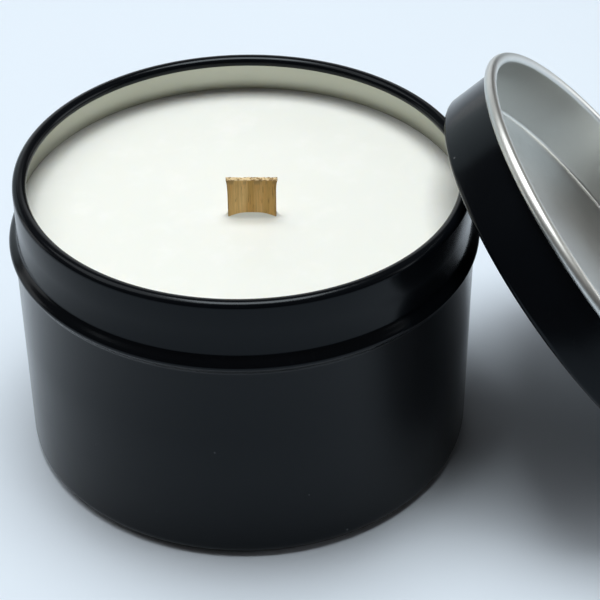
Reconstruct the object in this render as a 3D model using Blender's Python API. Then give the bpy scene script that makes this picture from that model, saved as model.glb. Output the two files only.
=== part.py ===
"""Candle tin with a slip lid, as separate solids in metres, +Z up.

The origin is the middle of the tin's flat underside. The lid is off and leans on the tin's +X side.
"""

import math

import bmesh
import bpy
from mathutils import Vector

MM = 0.001

# Pressed tinplate, 0.3 mm, for both the tin and the lid.
SHEET = 0.3 * MM
AROUND = 64

# Tin: one seamless drawn cup.
TIN_HEIGHT = 53.5 * MM
BODY_RADIUS = 40.0 * MM
COLLAR_RADIUS = 39.35 * MM
CORNER_RADIUS = 2.4 * MM
BEAD_RADIUS = 40.85 * MM
BEAD_TOP = 43.8 * MM
BEAD_MIDDLE = 41.9 * MM
BEAD_BOTTOM = 40.1 * MM

# The rim is rolled inward into a curl that is a little wider than it is high.
RIM_HALF_WIDTH = 1.2 * MM
RIM_HALF_HEIGHT = 1.0 * MM

# Lid: a shallow drawn cap whose edge is rolled outward.
LID_INNER_RADIUS = 40.0 * MM
LID_DEPTH = 12.15 * MM
LID_CORNER_RADIUS = 1.0 * MM
LID_CURL_RADIUS = 1.05 * MM

# How the lid leans: its mouth faces up and away from the tin.
LID_MOUTH_ELEVATION = math.radians(41.7)
LID_MOUTH_AZIMUTH = math.radians(-1.3)
LID_CENTRE_Y = -4.4 * MM

# Both curls stop short of a full turn.
CURL_SWEEP = math.radians(285)
CURL_STEPS = 10

# Wax, poured to this height above the table.
WAX_LEVEL = 45.6 * MM
FIT_GAP = 0.25 * MM

# Wooden wick: a thin slat that stands a little in front of the tin's axis, turned slightly.
WICK_WIDTH = 8.4 * MM
WICK_THICKNESS = 1.0 * MM
WICK_TOP = 53.4 * MM
WICK_BOTTOM = 2.1 * MM
WICK_X = 1.3 * MM
WICK_Y = -3.8 * MM
WICK_TURN = math.radians(-2.6)

# Metal clip that holds the wick's foot, and the adhesive disc below it.
CLIP_RADIUS = 10.0 * MM
CLIP_BOTTOM = 1.4 * MM
CLIP_SHEET = 0.4 * MM
CLIP_TAB_HEIGHT = 6.0 * MM
CLIP_TAB_WIDTH = 7.0 * MM
STICKER_RADIUS = 9.0 * MM
STICKER_BOTTOM = 0.6 * MM
STICKER_THICKNESS = 0.5 * MM
PIECE_GAP = 0.3 * MM


def material(name, colour, roughness, metallic):
    made = bpy.data.materials.new(name)
    made.use_nodes = True
    shader = made.node_tree.nodes["Principled BSDF"]
    shader.inputs["Base Color"].default_value = (*colour, 1.0)
    shader.inputs["Roughness"].default_value = roughness
    shader.inputs["Metallic"].default_value = metallic
    return made


def finished(name, mesh_builder, surface):
    """Turns the bmesh into an object in the scene, with its faces pointing outward."""
    bmesh.ops.recalc_face_normals(mesh_builder, faces=mesh_builder.faces)
    mesh = bpy.data.meshes.new(name)
    mesh_builder.to_mesh(mesh)
    mesh_builder.free()
    made = bpy.data.objects.new(name, mesh)
    bpy.context.scene.collection.objects.link(made)
    made.data.materials.append(surface)
    return made


def arc(centre, half_width, half_height, start, end, steps):
    """Points (radius, height) along part of an ellipse, both ends included."""
    points = []
    for i in range(steps + 1):
        angle = start + (end - start) * i / steps
        points.append(
            (centre[0] + half_width * math.cos(angle), centre[1] + half_height * math.sin(angle))
        )
    return points


def turned(name, profile, surface, around=AROUND):
    """Solid of revolution about Z. The profile starts and ends on the axis."""
    builder = bmesh.new()
    foot = builder.verts.new((0.0, 0.0, profile[0][1]))
    crown = builder.verts.new((0.0, 0.0, profile[-1][1]))
    rings = []
    for radius, height in profile[1:-1]:
        ring = []
        for i in range(around):
            angle = 2 * math.pi * i / around
            ring.append(
                builder.verts.new((radius * math.cos(angle), radius * math.sin(angle), height))
            )
        rings.append(ring)
    for i in range(around):
        following = (i + 1) % around
        builder.faces.new((foot, rings[0][following], rings[0][i]))
        builder.faces.new((crown, rings[-1][i], rings[-1][following]))
        for lower, upper in zip(rings, rings[1:]):
            builder.faces.new((lower[i], lower[following], upper[following], upper[i]))
    return finished(name, builder, surface)


def block(name, size, middle, surface):
    """Box standing where the wick does and turned with it; its middle's X and Y count from the wick."""
    builder = bmesh.new()
    bmesh.ops.create_cube(builder, size=1.0)
    bmesh.ops.scale(builder, vec=size, verts=builder.verts)
    bmesh.ops.translate(builder, vec=middle, verts=builder.verts)
    made = finished(name, builder, surface)
    made.location = (WICK_X, WICK_Y, 0.0)
    made.rotation_euler = (0.0, 0.0, WICK_TURN)
    return made


def boolean(target, tool, operation):
    change = target.modifiers.new(operation.lower(), "BOOLEAN")
    change.operation = operation
    change.solver = "EXACT"
    change.object = tool
    tool.hide_render = True
    tool.display_type = "WIRE"


def smooth_step(low, high, steps):
    """Points from low to high, both (radius, height), along half a cosine wave; low is left out."""
    points = []
    for i in range(1, steps + 1):
        share = i / steps
        ease = (1 - math.cos(math.pi * share)) / 2
        points.append(
            (low[0] + (high[0] - low[0]) * ease, low[1] + (high[1] - low[1]) * share)
        )
    return points


def tin_wall(inset, corner_radius, floor):
    """The tin's wall from its bottom corner to the top of the bead, set in from the outside."""
    corner = (BODY_RADIUS - inset - corner_radius, floor + corner_radius)
    points = arc(corner, corner_radius, corner_radius, math.radians(-90), 0.0, 4)
    points.append((BODY_RADIUS - inset, BEAD_BOTTOM))
    points += smooth_step(
        (BODY_RADIUS - inset, BEAD_BOTTOM), (BEAD_RADIUS - inset, BEAD_MIDDLE), 3
    )
    points += smooth_step(
        (BEAD_RADIUS - inset, BEAD_MIDDLE), (COLLAR_RADIUS - inset, BEAD_TOP), 3
    )
    return points


def tin_profile():
    curl = (COLLAR_RADIUS - RIM_HALF_WIDTH, TIN_HEIGHT - RIM_HALF_HEIGHT)
    outside = tin_wall(0.0, CORNER_RADIUS, 0.0)
    outside += arc(curl, RIM_HALF_WIDTH, RIM_HALF_HEIGHT, 0.0, CURL_SWEEP, CURL_STEPS)
    inside = tin_wall(SHEET, CORNER_RADIUS - SHEET, SHEET)
    inside += arc(
        curl, RIM_HALF_WIDTH - SHEET, RIM_HALF_HEIGHT - SHEET, 0.0, CURL_SWEEP, CURL_STEPS
    )
    return [(0.0, 0.0)] + outside + inside[::-1] + [(0.0, SHEET)]


def lid_profile():
    """Lid lying on its closed face, with its mouth up."""
    curl = (LID_INNER_RADIUS + LID_CURL_RADIUS, LID_DEPTH - LID_CURL_RADIUS)
    half_turn = math.pi
    outer_radius = LID_INNER_RADIUS + SHEET
    corner = (outer_radius - LID_CORNER_RADIUS, LID_CORNER_RADIUS)
    inner_corner = LID_CORNER_RADIUS - SHEET
    outside = arc(corner, LID_CORNER_RADIUS, LID_CORNER_RADIUS, math.radians(-90), 0.0, 3)
    outside += arc(
        curl,
        LID_CURL_RADIUS - SHEET,
        LID_CURL_RADIUS - SHEET,
        half_turn,
        half_turn - CURL_SWEEP,
        CURL_STEPS,
    )
    inside = arc(corner, inner_corner, inner_corner, math.radians(-90), 0.0, 3)
    inside += arc(
        curl, LID_CURL_RADIUS, LID_CURL_RADIUS, half_turn, half_turn - CURL_SWEEP, CURL_STEPS
    )
    return [(0.0, 0.0)] + outside + inside[::-1] + [(0.0, SHEET)]


def lid_centre():
    """Middle of the closed face: the lid's lower corner is on the table and its face is by the rim."""
    across = math.cos(LID_MOUTH_ELEVATION)
    up = math.sin(LID_MOUTH_ELEVATION)
    corner_ring = LID_INNER_RADIUS + SHEET - LID_CORNER_RADIUS
    height = LID_CORNER_RADIUS + corner_ring * across - LID_CORNER_RADIUS * up
    rim_reach = math.hypot(RIM_HALF_WIDTH * across, RIM_HALF_HEIGHT * up)
    rim_ring = COLLAR_RADIUS - RIM_HALF_WIDTH
    rim_height = TIN_HEIGHT - RIM_HALF_HEIGHT
    reach = rim_ring * across + rim_height * up + rim_reach + PIECE_GAP
    sideways = LID_CENTRE_Y * across * math.sin(LID_MOUTH_AZIMUTH)
    along = (reach - height * up - sideways) / (across * math.cos(LID_MOUTH_AZIMUTH))
    return Vector((along, LID_CENTRE_Y, height))


def disc(name, radius, bottom, thickness, surface, around=40):
    made = turned(
        name,
        [(0.0, bottom), (radius, bottom), (radius, bottom + thickness), (0.0, bottom + thickness)],
        surface,
        around,
    )
    made.location = (WICK_X, WICK_Y, 0.0)
    return made


for existing in list(bpy.data.objects):
    bpy.data.objects.remove(existing, do_unlink=True)

black_lacquer = material("black_lacquer", (0.014, 0.015, 0.018), 0.38, 0.0)
soy_wax = material("soy_wax", (0.86, 0.85, 0.80), 0.45, 0.0)
wick_wood = material("wick_wood", (0.36, 0.22, 0.10), 0.75, 0.0)
bare_steel = material("bare_steel", (0.62, 0.63, 0.62), 0.30, 1.0)
adhesive_foam = material("adhesive_foam", (0.80, 0.79, 0.76), 0.80, 0.0)

tin_cup = turned("tin_cup", tin_profile(), black_lacquer)

lid_stand = bpy.data.objects.new("lid_stand", None)
bpy.context.scene.collection.objects.link(lid_stand)
lid_stand.location = lid_centre()
lid_stand.rotation_euler = (0.0, math.pi / 2 - LID_MOUTH_ELEVATION, LID_MOUTH_AZIMUTH)
lid = turned("lid", lid_profile(), black_lacquer)
lid.parent = lid_stand

# Wax: fills the tin to just under the collar's middle, with room for the wick, its clip and its disc.
wax_bottom = SHEET + FIT_GAP
wax_wall = tin_wall(SHEET + FIT_GAP, CORNER_RADIUS - SHEET - FIT_GAP, wax_bottom)
wax_wall.append((COLLAR_RADIUS - SHEET - FIT_GAP, WAX_LEVEL))
wax_fill = turned("wax_fill", [(0.0, wax_bottom)] + wax_wall + [(0.0, WAX_LEVEL)], soy_wax)

clip_pocket = disc(
    "clip_pocket", CLIP_RADIUS + PIECE_GAP, -CLIP_BOTTOM, 2 * CLIP_BOTTOM + CLIP_SHEET + PIECE_GAP,
    soy_wax,
)
tab_top = CLIP_BOTTOM + CLIP_TAB_HEIGHT
tab_spread = WICK_THICKNESS + 2 * (PIECE_GAP + CLIP_SHEET)
tab_pocket = block(
    "tab_pocket",
    (CLIP_TAB_WIDTH + 2 * PIECE_GAP, tab_spread + 2 * PIECE_GAP, tab_top + PIECE_GAP),
    (0.0, 0.0, (tab_top + PIECE_GAP) / 2),
    soy_wax,
)
wick_slot = block(
    "wick_slot",
    (WICK_WIDTH + 2 * PIECE_GAP, WICK_THICKNESS + 2 * PIECE_GAP, 2 * TIN_HEIGHT),
    (0.0, 0.0, TIN_HEIGHT / 2),
    soy_wax,
)
for pocket in (clip_pocket, tab_pocket, wick_slot):
    boolean(wax_fill, pocket, "DIFFERENCE")

wood_wick = block(
    "wood_wick",
    (WICK_WIDTH, WICK_THICKNESS, WICK_TOP - WICK_BOTTOM),
    (0.0, 0.0, (WICK_TOP + WICK_BOTTOM) / 2),
    wick_wood,
)

# Clip: a round foot with two tabs folded up, one on each face of the wick.
wick_clip = disc("wick_clip", CLIP_RADIUS, CLIP_BOTTOM, CLIP_SHEET, bare_steel)
for side in (-1, 1):
    tab = block(
        "clip_tab_front" if side < 0 else "clip_tab_back",
        (CLIP_TAB_WIDTH, CLIP_SHEET, CLIP_TAB_HEIGHT - CLIP_SHEET / 2),
        (
            0.0,
            side * (WICK_THICKNESS / 2 + PIECE_GAP + CLIP_SHEET / 2),
            CLIP_BOTTOM + CLIP_SHEET / 2 + (CLIP_TAB_HEIGHT - CLIP_SHEET / 2) / 2,
        ),
        bare_steel,
    )
    boolean(wick_clip, tab, "UNION")

wick_sticker = disc(
    "wick_sticker", STICKER_RADIUS, STICKER_BOTTOM, STICKER_THICKNESS, adhesive_foam
)
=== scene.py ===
import math

import bmesh
import bpy
from mathutils import Matrix, Vector


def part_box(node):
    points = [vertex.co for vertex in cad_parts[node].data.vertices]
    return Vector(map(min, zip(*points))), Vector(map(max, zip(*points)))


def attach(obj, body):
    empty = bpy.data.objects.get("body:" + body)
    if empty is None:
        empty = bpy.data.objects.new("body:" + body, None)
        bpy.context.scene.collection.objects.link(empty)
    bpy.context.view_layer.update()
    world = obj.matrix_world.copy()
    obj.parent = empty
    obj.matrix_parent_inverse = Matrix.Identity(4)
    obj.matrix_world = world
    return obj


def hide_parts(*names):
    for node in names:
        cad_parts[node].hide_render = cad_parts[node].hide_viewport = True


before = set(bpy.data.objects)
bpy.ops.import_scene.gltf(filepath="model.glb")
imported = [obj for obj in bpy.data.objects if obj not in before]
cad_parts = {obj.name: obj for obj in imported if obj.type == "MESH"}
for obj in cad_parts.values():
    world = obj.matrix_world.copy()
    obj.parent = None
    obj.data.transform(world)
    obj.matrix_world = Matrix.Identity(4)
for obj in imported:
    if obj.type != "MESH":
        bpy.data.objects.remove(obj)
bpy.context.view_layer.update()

# ---------------------------------------------------------------------------
# Tin. One cup drawn from thin tinplate, lacquered satin black outside and left bare inside.
# The press leaves a rounded foot, a bead that stops the lid and a straight collar above it.
# The top edge is rolled inward into a curl, so that the curl shows the black side.

SHEET = 0.0003
AROUND = 224
BLACK, BARE = 0, 1
SMOOTH_UNDER = math.radians(40)

tin_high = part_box("tin_cup")[1]
TIN_TOP = tin_high.z
BEAD_OUT = tin_high.x
BODY_OUT = 0.04
COLLAR_OUT = 0.03935
FOOT_ROUND = 0.0024
BEAD_FOOT, BEAD_CREST, BEAD_HEAD = 0.0401, 0.0419, 0.0438
RIM_WIDE, RIM_HIGH = 0.0012, 0.0010
CURL_SWEEP, CURL_STEPS = math.radians(285), 26

# Rings that divide the flat bottom, the body and the collar into even faces.
FLAT_RINGS = (0.012, 0.024, 0.034)
BODY_RINGS = (0.014, 0.027)
COLLAR_RING = 0.048


def turn_along(centre, wide, high, start, end, steps):
    """(radius, height) points along an arc, the first one left out."""
    line = []
    for i in range(1, steps + 1):
        angle = start + (end - start) * i / steps
        line.append((centre[0] + wide * math.cos(angle), centre[1] + high * math.sin(angle)))
    return line


def swell(low, high, steps):
    """(radius, height) points that leave low and reach high with level ends, low left out."""
    line = []
    for i in range(1, steps + 1):
        share = i / steps
        ease = (1 - math.cos(math.pi * share)) / 2
        line.append((low[0] + (high[0] - low[0]) * ease, low[1] + (high[1] - low[1]) * share))
    return line


def pick(test, kind="VERT"):
    """In edit mode, selects just the vertices or faces that pass the test."""
    bpy.ops.mesh.select_mode(type=kind)
    bpy.ops.mesh.select_all(action="DESELECT")
    shape = bmesh.from_edit_mesh(bpy.context.object.data)
    for item in shape.faces if kind == "FACE" else shape.verts:
        if test(item):
            item.select_set(True)
    shape.select_flush_mode()
    bmesh.update_edit_mesh(bpy.context.object.data)


def start_disc(name, radius, height, around=AROUND):
    """A new round disc, open for editing with its edge selected."""
    bpy.ops.object.select_all(action="DESELECT")
    bpy.ops.mesh.primitive_circle_add(
        vertices=around, radius=radius, fill_type="TRIFAN", location=(0, 0, height)
    )
    disc = bpy.context.object
    disc.name = disc.data.name = name
    bpy.ops.object.transform_apply(location=True)
    bpy.ops.object.mode_set(mode="EDIT")
    pick(lambda point: math.hypot(point.co.x, point.co.y) > radius / 2)
    return disc


def draw_up(line):
    """Extrudes the selected ring through (radius, height) points; the first is where it is now."""
    for (old_radius, old_height), (radius, height) in zip(line, line[1:]):
        bpy.ops.mesh.extrude_region_move(
            TRANSFORM_OT_translate={"value": (0, 0, height - old_height)}
        )
        bpy.ops.transform.resize(
            value=(radius / old_radius, radius / old_radius, 1), center_override=(0, 0, height)
        )


def give_sheet(piece, skin, other_side, finishes):
    """Gives a drawn skin its thickness behind its faces, and each side its finish."""
    for finish in finishes:
        piece.data.materials.append(finish)
    bpy.ops.mesh.select_all(action="SELECT")
    bpy.ops.mesh.remove_doubles(threshold=1e-7)
    bpy.ops.mesh.normals_make_consistent(inside=False)
    bpy.ops.object.mode_set(mode="OBJECT")
    for face in piece.data.polygons:
        face.material_index = skin
    wall = piece.modifiers.new("sheet", "SOLIDIFY")
    wall.thickness = SHEET
    wall.offset = -1
    wall.material_offset = other_side - skin
    wall.material_offset_rim = 0
    bpy.ops.object.modifier_apply(modifier=wall.name)


class Wire:
    """A node's output, so that shader maths reads as sums."""

    def __init__(self, finish, socket):
        self.finish, self.socket = finish, socket

    def maths(self, operation, first, second):
        return self.finish.node("ShaderNodeMath", {"operation": operation}, {0: first, 1: second})

    def __add__(self, other):
        return self.maths("ADD", self, other)

    def __radd__(self, other):
        return self.maths("ADD", other, self)

    def __sub__(self, other):
        return self.maths("SUBTRACT", self, other)

    def __rsub__(self, other):
        return self.maths("SUBTRACT", other, self)

    def __mul__(self, other):
        return self.maths("MULTIPLY", self, other)

    def __rmul__(self, other):
        return self.maths("MULTIPLY", other, self)


class Finish:
    """A surface finish: a material whose nodes are added one by one."""

    def __init__(self, name, **constants):
        self.material = bpy.data.materials.new(name)
        self.material.use_nodes = True
        self.tree = self.material.node_tree
        self.shader = self.tree.nodes["Principled BSDF"]
        for socket, value in constants.items():
            self.shader.inputs[socket.replace("_", " ")].default_value = value

    def node(self, kind, settings=None, sockets=None, output=0):
        """Adds a node: its settings first, then the values or wires of its sockets."""
        made = self.tree.nodes.new(kind)
        for key, value in (settings or {}).items():
            setattr(made, key, value)
        for key, value in (sockets or {}).items():
            self.join(made.inputs[key], value)
        return Wire(self, made.outputs[output])

    def join(self, socket, value):
        if isinstance(value, Wire):
            self.tree.links.new(value.socket, socket)
        else:
            socket.default_value = value

    def set(self, **sockets):
        for key, value in sockets.items():
            self.join(self.shader.inputs[key.replace("_", " ")], value)

    def place(self):
        return self.node("ShaderNodeTexCoord", output="Object")

    def noise(self, where, scale, detail=2.0, rough=0.5):
        return self.node(
            "ShaderNodeTexNoise",
            {},
            {"Vector": where, "Scale": scale, "Detail": detail, "Roughness": rough},
        )

    def stretch(self, where, scale):
        return self.node("ShaderNodeMapping", {}, {"Vector": where, "Scale": scale})

    def ramp(self, amount, low, high):
        """0 below low, 1 above high."""
        return self.node(
            "ShaderNodeMapRange",
            {"interpolation_type": "SMOOTHSTEP"},
            {"Value": amount, "From Min": low, "From Max": high},
        )

    def blend(self, amount, first, second):
        return self.node(
            "ShaderNodeMix", {"data_type": "RGBA"}, {0: amount, 6: first, 7: second}, output=2
        )

    def bump(self, height, distance, strength=1.0, under=None):
        sockets = {"Height": height, "Distance": distance, "Strength": strength}
        if under is not None:
            sockets["Normal"] = under
        return self.node("ShaderNodeBump", {}, sockets)


def black_lacquer(name):
    """Satin black lacquer: almost no colour of its own, a fine skin texture, faint handling marks."""
    coat = Finish(name, Specular_IOR_Level=0.165, Specular_Tint=(0.84, 0.93, 1.0, 1))
    here = coat.place()
    cloud = coat.noise(here, 70, 3)
    skin = coat.noise(here, 2600, 2)
    lines = coat.noise(coat.stretch(here, (1500, 1500, 60)), 1.0, 3)
    rubbed = coat.ramp(lines, 0.60, 0.78) * coat.ramp(coat.noise(here, 40, 2), 0.45, 0.7)
    grit = coat.node("ShaderNodeTexVoronoi", {}, {"Vector": here, "Scale": 190}, output="Distance")
    dust = (1 - coat.ramp(grit, 0.028, 0.050)) * coat.ramp(coat.noise(here, 150, 0), 0.56, 0.62)
    colour = coat.blend(cloud, (0.0016, 0.0022, 0.0032, 1), (0.0028, 0.0036, 0.0050, 1))
    colour = coat.blend(rubbed * 0.4, colour, (0.010, 0.011, 0.012, 1))
    colour = coat.blend(dust * 0.35, colour, (0.22, 0.23, 0.24, 1))
    coat.set(
        Base_Color=colour,
        Roughness=0.15 + cloud * 0.06 + rubbed * 0.05 + dust * 0.3,
        Normal=coat.bump(skin, 0.000003, 0.5),
    )
    return coat.material


def bare_tinplate(name, clean, centre=(0, 0, 0), turn=(0, 0, 0)):
    """Bare tinplate: soft grey metal with the press's fine lines, and rougher on a rolled edge."""
    plate = Finish(name, Metallic=1.0)
    here = plate.node(
        "ShaderNodeMapping",
        {"vector_type": "TEXTURE"},
        {"Vector": plate.place(), "Location": centre, "Rotation": turn},
    )
    flat = plate.node("ShaderNodeVectorMath", {"operation": "MULTIPLY"}, {0: here, 1: (1, 1, 0)})
    radius = plate.node("ShaderNodeVectorMath", {"operation": "LENGTH"}, {0: flat}, output="Value")
    rings = plate.node(
        "ShaderNodeTexNoise",
        {"noise_dimensions": "1D"},
        {"W": radius * 3000, "Scale": 1.0, "Detail": 2.0},
    )
    streaks = plate.noise(plate.stretch(here, (1400, 1400, 50)), 1.0, 3)
    mottle = plate.noise(here, 110, 4, 0.6)
    stain = plate.ramp(plate.noise(here, 38, 2), 0.50, 0.72)
    dull, stained = [[part * level for part in clean] + [1] for level in (0.87, 0.76)]
    colour = plate.blend(mottle, dull, (*clean, 1))
    colour = plate.blend(stain * 0.2, colour, stained)
    edge = plate.ramp(radius, BODY_OUT - 0.0001, BODY_OUT + 0.0004)
    plate.set(
        Base_Color=colour,
        Roughness=0.25 + mottle * 0.07 + streaks * 0.03 + rings * 0.02 + edge * 0.09,
        Normal=plate.bump(mottle, 0.00004, 0.08),
    )
    return plate.material


curl_middle = (COLLAR_OUT - RIM_WIDE, TIN_TOP - RIM_HIGH)
foot_middle = (BODY_OUT - FOOT_ROUND, FOOT_ROUND)
bead_crest = (BEAD_OUT, BEAD_CREST)
tin_line = [(radius, 0.0) for radius in (*FLAT_RINGS, foot_middle[0])]
tin_line += turn_along(foot_middle, FOOT_ROUND, FOOT_ROUND, math.radians(-90), 0, 8)
tin_line += [(BODY_OUT, height) for height in (*BODY_RINGS, BEAD_FOOT)]
tin_line += swell((BODY_OUT, BEAD_FOOT), bead_crest, 7)
tin_line += swell(bead_crest, (COLLAR_OUT, BEAD_HEAD), 7)
tin_line += [(COLLAR_OUT, COLLAR_RING), (COLLAR_OUT, curl_middle[1])]
tin_line += turn_along(curl_middle, RIM_WIDE, RIM_HIGH, 0, CURL_SWEEP, CURL_STEPS)

tin_shell = start_disc("tin_shell", *tin_line[0])
draw_up(tin_line)
# The bare inside is the same tinplate as the lid's inside, painted darker and more olive: painted
# shade on the inner wall, and a painted reflection of the cream wax.
tin_finishes = (
    black_lacquer("tin_lacquer"),
    bare_tinplate("tin_bare_inside_painted_shade", (0.49, 0.50, 0.425)),
)
give_sheet(tin_shell, BLACK, BARE, tin_finishes)
bpy.ops.object.shade_smooth_by_angle(angle=SMOOTH_UNDER)
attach(tin_shell, "tin")
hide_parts("tin_cup")

# ---------------------------------------------------------------------------
# Wick sticker. A disc punched from double-sided foam tape, which holds the wick's clip to the
# tin's floor. Its punched edge is drawn in a little halfway up.

sticker_low, sticker_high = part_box("wick_sticker")
WICK_X = (sticker_low.x + sticker_high.x) / 2
WICK_Y = (sticker_low.y + sticker_high.y) / 2
STICKER_OUT = (sticker_high.x - sticker_low.x) / 2
STICKER_THICK = sticker_high.z - sticker_low.z
DRAWN_IN = 0.00006
SMALL_AROUND = 96


def only(piece):
    """Leaves this piece as the one selected and active object."""
    bpy.ops.object.select_all(action="DESELECT")
    piece.select_set(True)
    bpy.context.view_layer.objects.active = piece


def round_edges(piece, width, segments=3):
    """Breaks the sharp edges of a finished solid."""
    softened = piece.modifiers.new("softened", "BEVEL")
    softened.width = width
    softened.segments = segments
    softened.limit_method = "ANGLE"
    softened.angle_limit = SMOOTH_UNDER
    bpy.ops.object.modifier_apply(modifier=softened.name)
    bpy.ops.object.shade_smooth_by_angle(angle=SMOOTH_UNDER)


def close_solid():
    """Fills the open ring that is selected, and points every face outward."""
    bpy.ops.mesh.edge_face_add()
    bpy.ops.mesh.select_all(action="SELECT")
    bpy.ops.mesh.normals_make_consistent(inside=False)
    bpy.ops.object.mode_set(mode="OBJECT")


def settle(piece, place):
    """Moves a piece that was made round the axis to its place, and leaves its object at the origin."""
    only(piece)
    piece.location = place
    bpy.ops.object.transform_apply(location=True, rotation=True, scale=True)


foam_line = [
    (STICKER_OUT / 2, 0.0),
    (STICKER_OUT, 0.0),
    (STICKER_OUT - DRAWN_IN, STICKER_THICK / 2),
    (STICKER_OUT, STICKER_THICK),
    (STICKER_OUT / 2, STICKER_THICK),
]
foam_disc = start_disc("foam_disc", *foam_line[0], SMALL_AROUND)
draw_up(foam_line)
close_solid()
settle(foam_disc, (WICK_X, WICK_Y, sticker_low.z))
round_edges(foam_disc, 0.00006)


def foam(name):
    """Off-white foam tape: tiny open cells and a slightly yellowed adhesive."""
    tape = Finish(name, Specular_IOR_Level=0.3)
    here = tape.place()
    cells = tape.node("ShaderNodeTexVoronoi", {}, {"Vector": here, "Scale": 3500}, output="Distance")
    yellow = tape.noise(here, 180, 3)
    tape.set(
        Base_Color=tape.blend(yellow, (0.82, 0.81, 0.77, 1), (0.72, 0.69, 0.60, 1)),
        Roughness=0.7 + cells * 0.25,
        Normal=tape.bump(cells, 0.00005, 0.6),
    )
    return tape.material


foam_disc.data.materials.append(foam("foam_tape"))
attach(foam_disc, "tin")
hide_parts("wick_sticker")

# ---------------------------------------------------------------------------
# Wick clip. A round foot stamped from thin steel, with two tabs folded up against the wick.
# A shallow ring is pressed into the foot to keep it flat.

clip_low, clip_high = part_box("wick_clip")
CLIP_OUT = (clip_high.x - clip_low.x) / 2
CLIP_SHEET = 0.0004
RING_HIGH = 0.00012
WICK_TURN = math.radians(-2.6)
WICK_WIDE, WICK_THICK = 0.0084, 0.001
TAB_WIDE, TAB_GAP = 0.007, 0.0003
TAB_TAPER, TAB_CLEAR = 0.8, 0.00005
TAB_TALL = clip_high.z - clip_low.z

# The foot's (radius, height) line runs outward along its under side and back over the top.
under_side = [(0.003, 0.0), (0.0066, 0.0), (0.0070, RING_HIGH), (0.0078, RING_HIGH), (0.0082, 0.0)]
under_side += [(CLIP_OUT, 0.0)]
upper_side = [(radius, height + CLIP_SHEET) for radius, height in reversed(under_side)]
wick_clip = start_disc("wick_foot", *under_side[0], SMALL_AROUND)
draw_up(under_side + upper_side)
close_solid()
for side in (-1, 1):
    bpy.ops.object.select_all(action="DESELECT")
    bpy.ops.mesh.primitive_cube_add(
        size=1,
        location=(0, side * (WICK_THICK / 2 + TAB_GAP + CLIP_SHEET / 2), TAB_TALL / 2),
        scale=(TAB_WIDE, CLIP_SHEET, TAB_TALL - 2 * TAB_CLEAR),
    )
    tab = bpy.context.object
    bpy.ops.object.transform_apply(location=True, scale=True)
    bpy.ops.object.mode_set(mode="EDIT")
    pick(lambda point: point.co.z > TAB_TALL / 2)
    bpy.ops.transform.resize(value=(TAB_TAPER, 1, 1), center_override=(0, 0, TAB_TALL))
    bpy.ops.object.mode_set(mode="OBJECT")
    welded = wick_clip.modifiers.new("tab", "BOOLEAN")
    welded.operation = "UNION"
    welded.solver = "EXACT"
    welded.object = tab
    only(wick_clip)
    bpy.ops.object.modifier_apply(modifier=welded.name)
    bpy.data.objects.remove(tab)
wick_clip.rotation_euler.z = WICK_TURN
settle(wick_clip, (WICK_X, WICK_Y, clip_low.z))
round_edges(wick_clip, 0.00008, 2)
clip_steel = bare_tinplate("clip_steel", (0.66, 0.67, 0.66), (WICK_X, WICK_Y, 0))
wick_clip.data.materials.append(clip_steel)
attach(wick_clip, "tin")
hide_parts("wick_clip")

# ---------------------------------------------------------------------------
# Wooden wick. A thin slat split along the grain and sawn off square, so its faces show long
# upright fibres. The saw left the top ragged, and the dry top has opened a little wider.

wick_low, wick_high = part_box("wood_wick")
WICK_TALL = wick_high.z - wick_low.z
ROWS, ROW_HIGH = 50, 0.00019
NEAR_ROW = 0.00009
COLUMNS = 44
RAGGED, RAGGED_BELOW_TOP = 0.00009, 0.00015
WAIST, OPENING, FADE_ROWS = 0.985, 0.065, 4.5

bpy.ops.object.select_all(action="DESELECT")
bpy.ops.mesh.primitive_cube_add(
    size=1, location=(0, 0, WICK_TALL / 2), scale=(WICK_WIDE, WICK_THICK, WICK_TALL)
)
wick_slat = bpy.context.object
wick_slat.name = wick_slat.data.name = "wick_slat"
bpy.ops.object.transform_apply(location=True, scale=True)
round_edges(wick_slat, 0.00009, 2)
bpy.ops.object.mode_set(mode="EDIT")
for row in range(ROWS, 1, -1):
    bpy.ops.mesh.select_all(action="SELECT")
    bpy.ops.mesh.bisect(plane_co=(0, 0, WICK_TALL - row * ROW_HIGH), plane_no=(0, 0, 1))
for column in range(1, COLUMNS):
    bpy.ops.mesh.select_all(action="SELECT")
    across = WICK_WIDE * (column / COLUMNS - 0.5)
    bpy.ops.mesh.bisect(plane_co=(across, 0, 0), plane_no=(1, 0, 0))
pick(lambda point: point.co.z > WICK_TALL - RAGGED_BELOW_TOP)
bpy.ops.transform.vertex_random(offset=RAGGED, uniform=0.4, seed=7)
for row in range(ROWS - 1):
    level = WICK_TALL - row * ROW_HIGH
    pick(lambda point: abs(point.co.z - level) < NEAR_ROW)
    flare = WAIST + OPENING * math.exp(-row / FADE_ROWS)
    bpy.ops.transform.resize(value=(flare, 1, 1), center_override=(0, 0, level))
bpy.ops.object.mode_set(mode="OBJECT")


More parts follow.
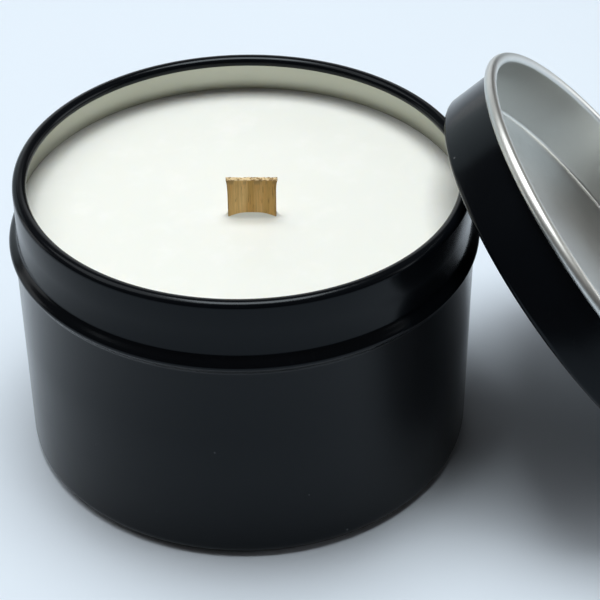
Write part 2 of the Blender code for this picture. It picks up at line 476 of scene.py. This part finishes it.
def slat_wood(name):
    """Dry cherry-brown wood: long upright fibres, dark pores, a darker cut across the top with darker
    patches below it, and painted shade on the narrow sides.
    """
    wood = Finish(name, Specular_IOR_Level=0.25)
    here = wood.node(
        "ShaderNodeMapping",
        {"vector_type": "TEXTURE"},
        {"Vector": wood.place(), "Location": (WICK_X, WICK_Y, 0), "Rotation": (0, 0, WICK_TURN)},
    )
    bands = wood.noise(wood.stretch(here, (560, 560, 26)), 1.0, 3, 0.6)
    patches = wood.noise(wood.stretch(here, (900, 900, 330)), 1.0, 2)
    fibres = wood.noise(wood.stretch(here, (3600, 3600, 160)), 1.0, 4, 0.65)
    pores = wood.ramp(wood.noise(wood.stretch(here, (5200, 5200, 420)), 1.0, 1), 0.62, 0.74)
    sideways = wood.node("ShaderNodeSeparateXYZ", {}, {"Vector": here}, output="X")
    height = wood.node("ShaderNodeSeparateXYZ", {}, {"Vector": here}, output="Z")
    off_middle = wood.node("ShaderNodeMath", {"operation": "ABSOLUTE"}, {0: sideways})
    # Painted shade: a mask that darkens the colour toward the slat's two narrow sides.
    side = wood.ramp(off_middle + patches * 0.0003, WICK_WIDE / 2 - 0.0003, WICK_WIDE / 2 + 0.0002)
    # Darker patches just below the top.
    under_top = wood.ramp(height, wick_high.z - 0.0012, wick_high.z - 0.0004)
    dark_patches_below_top = under_top * wood.ramp(patches, 0.48, 0.60)
    top = wood.ramp(height, wick_high.z - 0.00012, wick_high.z - 0.00004)
    colour = wood.blend(wood.ramp(bands, 0.3, 0.7), (0.66, 0.39, 0.115, 1), (0.95, 0.64, 0.27, 1))
    colour = wood.blend(wood.ramp(patches, 0.45, 0.75) * 0.45, colour, (0.88, 0.47, 0.145, 1))
    colour = wood.blend(wood.ramp(fibres, 0.35, 0.7) * 0.4, colour, (0.44, 0.26, 0.085, 1))
    colour = wood.blend(pores * 0.55, colour, (0.24, 0.135, 0.045, 1))
    # Darker patches just below the top.
    colour = wood.blend(dark_patches_below_top * 0.45, colour, (0.26, 0.19, 0.10, 1))
    # Painted shade toward the narrow sides.
    colour = wood.blend(side * 0.55, colour, (0.20, 0.15, 0.10, 1))
    ends = wood.ramp(wood.noise(here, 1900, 2), 0.42, 0.60)
    cut = wood.blend(ends, (0.78, 0.62, 0.36, 1), (0.26, 0.17, 0.08, 1))
    colour = wood.blend(top * 0.85, colour, cut)
    wood.set(
        Base_Color=colour,
        Roughness=0.66 + fibres * 0.2,
        Normal=wood.bump(fibres + bands * 0.7 - pores * 0.8, 0.00009, 0.8),
    )
    return wood.material


wick_slat.rotation_euler.z = WICK_TURN
settle(wick_slat, (WICK_X, WICK_Y, wick_low.z))
bpy.ops.object.shade_smooth_by_angle(angle=math.radians(30))
wick_slat.data.materials.append(slat_wood("wick_wood_grain"))
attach(wick_slat, "tin")
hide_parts("wood_wick")

# ---------------------------------------------------------------------------
# Wax. Soft plant wax poured round the wick: it fills the tin to about 8 mm below the rim and
# stands flat, and creeps up a little where it wets the wall and the faces of the wick.

WAX_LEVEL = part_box("wax_fill")[1].z
SKIN_GAP = 0.00002
OVAL_WIDE, OVAL_DEEP = 0.021, 0.020
OVAL_STEPS = 9


def wall_inside(outside):
    return outside - SHEET - SKIN_GAP


wax_edge = wall_inside(COLLAR_OUT)
wax_foot = FOOT_ROUND - SHEET - SKIN_GAP
wax_floor = SHEET + SKIN_GAP
foot_centre = (wall_inside(BODY_OUT) - wax_foot, wax_floor + wax_foot)
wax_line = [(FLAT_RINGS[0], wax_floor), (foot_centre[0], wax_floor)]
wax_line += turn_along(foot_centre, wax_foot, wax_foot, math.radians(-90), 0, 6)
wax_line += [(wall_inside(BODY_OUT), BEAD_FOOT)]
wax_line += swell((wall_inside(BODY_OUT), BEAD_FOOT), (wall_inside(BEAD_OUT), BEAD_CREST), 5)
wax_line += swell((wall_inside(BEAD_OUT), BEAD_CREST), (wax_edge, BEAD_HEAD), 5)

# Where the wax wets the wall: (distance from the wall, height above the level).
WALL_CREEP = (
    (0.0, 0.00032),
    (0.0001, 0.00030),
    (0.0003, 0.00018),
    (0.0006, 0.00010),
    (0.0011, 0.00004),
    (0.0020, 0.0),
)
wax_line += [(wax_edge - reach, WAX_LEVEL + rise) for reach, rise in WALL_CREEP]

# The wick's middle, in axes that are turned with the wick.
wick_spot = Matrix.Rotation(-WICK_TURN, 3, "Z") @ Vector((WICK_X, WICK_Y, 0))

wax_pour = start_disc("wax_pour", *wax_line[0])
draw_up(wax_line)

# Where the wax wets the wick: (half width and half depth of an oval, height above the level).
WICK_CREEP = (
    (0.0170, 0.0155, 0.0),
    (0.0120, 0.0100, 0.0),
    (0.0090, 0.0064, 0.00001),
    (0.0074, 0.0042, 0.00003),
    (0.0063, 0.0028, 0.00007),
    (0.0055, 0.0018, 0.00014),
    (0.0050, 0.0012, 0.00026),
    (0.0047, 0.0009, 0.00046),
    (0.0044, 0.00070, 0.00082),
    (0.0041, 0.00052, 0.00128),
    (0.0037, 0.00030, 0.00150),
)
flat_edge = wax_line[-1][0]
wide = deep = flat_edge
middle = Vector((0, 0, WAX_LEVEL))

# From the wall inward the rings turn from circles about the tin into ovals about the wick.
rings = []
for i in range(1, OVAL_STEPS):
    share = i / OVAL_STEPS
    ring_wide = flat_edge * (1 - share) + OVAL_WIDE * share
    ring_deep = flat_edge * (1 - share) + OVAL_DEEP * share
    rings.append((ring_wide, ring_deep, (wick_spot.x * share, wick_spot.y * share, WAX_LEVEL)))
for ring_wide, ring_deep, rise in WICK_CREEP:
    rings.append((ring_wide, ring_deep, (wick_spot.x, wick_spot.y, WAX_LEVEL + rise)))
for ring_wide, ring_deep, spot in rings:
    spot = Vector(spot)
    bpy.ops.mesh.extrude_region_move(TRANSFORM_OT_translate={"value": spot - middle})
    bpy.ops.transform.resize(
        value=(ring_wide / wide, ring_deep / deep, 1), center_override=spot
    )
    wide, deep, middle = ring_wide, ring_deep, spot
close_solid()
wax_pour.rotation_euler.z = WICK_TURN
settle(wax_pour, (0, 0, 0))
bpy.ops.object.shade_smooth_by_angle(angle=math.radians(50))


def poured_wax(name):
    """Creamy wax: light sinks in, faint frosting and very low swells from cooling."""
    wax = Finish(
        name,
        Specular_IOR_Level=0.35,
        Subsurface_Weight=0.35,
        Subsurface_Radius=(0.0040, 0.0036, 0.0030),
        Subsurface_Scale=1.0,
    )
    here = wax.place()
    frost = wax.ramp(wax.noise(here, 130, 5, 0.62), 0.48, 0.75)
    swells = wax.noise(here, 60, 2)
    grains = wax.noise(here, 1500, 2)
    wax.set(
        Base_Color=wax.blend(frost, (0.875, 0.900, 0.850, 1), (0.905, 0.925, 0.885, 1)),
        Roughness=0.42 + frost * 0.12,
        Normal=wax.bump(grains, 0.000008, 0.4, wax.bump(swells, 0.00012, 0.35)),
    )
    return wax.material


wax_pour.data.materials.append(poured_wax("soy_wax_cream"))
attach(wax_pour, "tin")
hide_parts("wax_fill")

# ---------------------------------------------------------------------------
# Lid. A shallow cap drawn from the same tinplate, black outside and bare inside. Its edge is
# rolled outward, so that the curl shows the bare side. It is off the tin and leans on it.

LID_IN = 0.0400
LID_DEEP = 0.01215
LID_ROUND = 0.0010
LID_CURL = 0.00105
LID_WALL_RINGS = (0.0045, 0.0080)
MOUTH_UP = math.radians(41.7)
MOUTH_ROUND = math.radians(-1.3)

lid_low, lid_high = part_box("lid")
lid_turn = (0, math.pi / 2 - MOUTH_UP, MOUTH_ROUND)
mouth = Vector(
    (
        math.cos(MOUTH_UP) * math.cos(MOUTH_ROUND),
        math.cos(MOUTH_UP) * math.sin(MOUTH_ROUND),
        math.sin(MOUTH_UP),
    )
)
corner_ring = LID_IN + SHEET - LID_ROUND

# The rounded corner touches the low x and low z sides of the lid's box, and the curl is centred in y.
lid_middle = (
    lid_low.x + LID_ROUND - LID_ROUND * mouth.x + corner_ring * math.sqrt(1 - mouth.x**2),
    (lid_low.y + lid_high.y) / 2 - (LID_DEEP - LID_CURL) * mouth.y,
    lid_low.z + LID_ROUND - LID_ROUND * mouth.z + corner_ring * math.sqrt(1 - mouth.z**2),
)

lid_round = LID_ROUND - SHEET
lid_corner = (LID_IN - lid_round, LID_ROUND)
lid_curl_middle = (LID_IN + LID_CURL, LID_DEEP - LID_CURL)
curl_end = math.pi - CURL_SWEEP
lid_line = [(radius, SHEET) for radius in (*FLAT_RINGS, lid_corner[0])]
lid_line += turn_along(lid_corner, lid_round, lid_round, math.radians(-90), 0, 7)
lid_line += [(LID_IN, height) for height in (*LID_WALL_RINGS, lid_curl_middle[1])]
lid_line += turn_along(lid_curl_middle, LID_CURL, LID_CURL, math.pi, curl_end, CURL_STEPS)

lid_cap = start_disc("lid_cap", *lid_line[0])
draw_up(lid_line)
bpy.ops.mesh.select_all(action="SELECT")
bpy.ops.mesh.flip_normals()
lid_finishes = (
    black_lacquer("lid_lacquer"),
    bare_tinplate("lid_bare_inside", (0.72, 0.735, 0.715), lid_middle, lid_turn),
)
give_sheet(lid_cap, BARE, BLACK, lid_finishes)
lid_cap.rotation_euler = lid_turn
settle(lid_cap, lid_middle)
bpy.ops.object.shade_smooth_by_angle(angle=SMOOTH_UNDER)
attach(lid_cap, "lid")
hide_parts("lid")

# ---------------------------------------------------------------------------
# The studio. A plain pale table top and eight square softboxes: the strongest is overhead, and
# the low ones at the sides and the back give the black lacquer its soft sheen.

TABLE_WIDE = 12

bpy.ops.object.select_all(action="DESELECT")
bpy.ops.mesh.primitive_plane_add(size=TABLE_WIDE, location=(0, 0, -0.00002))
table_top = bpy.context.object
table_top.name = "table_top"


def pale_table(name):
    top = Finish(name, Specular_IOR_Level=0.25, Roughness=0.55)
    here = top.place()
    cloud = top.noise(here, 9, 3)
    top.set(
        Base_Color=top.blend(cloud, (0.735, 0.822, 0.918, 1), (0.765, 0.853, 0.945, 1)),
        Normal=top.bump(top.noise(here, 700, 3), 0.00001, 0.3),
    )
    return top.material


table_top.data.materials.append(pale_table("table_laminate"))

sky = bpy.data.worlds.new("studio")
bpy.context.scene.world = sky
sky.use_nodes = True
glow_all_round = sky.node_tree.nodes["Background"]
glow_all_round.inputs["Color"].default_value = (1.0, 0.93, 0.88, 1)
glow_all_round.inputs["Strength"].default_value = 0.07


def softbox(name, round_from_back, above, far, size, glow, colour=(1, 1, 1)):
    """A square softbox facing the tin, at a bearing from the back and a height, both in degrees."""
    bearing, height = math.radians(round_from_back), math.radians(above)
    lamp = bpy.data.lights.new(name, "AREA")
    lamp.shape = "SQUARE"
    lamp.size = size
    lamp.energy = glow * math.pi * size * size
    lamp.color = colour
    lit = bpy.data.objects.new(name, lamp)
    bpy.context.scene.collection.objects.link(lit)
    aim = Vector((0.03, 0, 0.03))
    lit.location = aim + far * Vector(
        (math.sin(bearing) * math.cos(height), math.cos(bearing) * math.cos(height), math.sin(height))
    )
    lit.rotation_euler = (aim - lit.location).to_track_quat("-Z", "Y").to_euler()


softbox("overhead", 0, 86, 1.0, 0.5, 9.9, (0.98, 1.0, 1.0))
softbox("upper_left", -75, 62, 1.0, 0.7, 1.75)
softbox("back_strip", -6, 15, 1.5, 0.95, 0.85, (0.93, 0.97, 1.0))
softbox("back_left", -38, 12, 1.5, 0.8, 0.68, (0.80, 0.94, 1.0))
softbox("low_left", -68, 10, 1.4, 0.5, 1.1)
softbox("right", 90, 28, 1.2, 0.6, 0.5)
softbox("low_right", 85, 12, 1.0, 0.65, 1.9)
softbox("back_right", 48, 9, 1.2, 0.5, 0.6)

bpy.context.scene.view_settings.view_transform = "Standard"

camera = bpy.data.cameras.new("camera")
camera.lens = 110.5
camera.sensor_width = 36
camera.clip_start, camera.clip_end = 0.01, 20
shot = bpy.data.objects.new("camera", camera)
bpy.context.scene.collection.objects.link(shot)
shot.location = (0, -0.26506, 0.22437)
shot.rotation_euler = (math.radians(53.01), math.radians(0.25), math.radians(-2.25))
bpy.context.scene.camera = shot
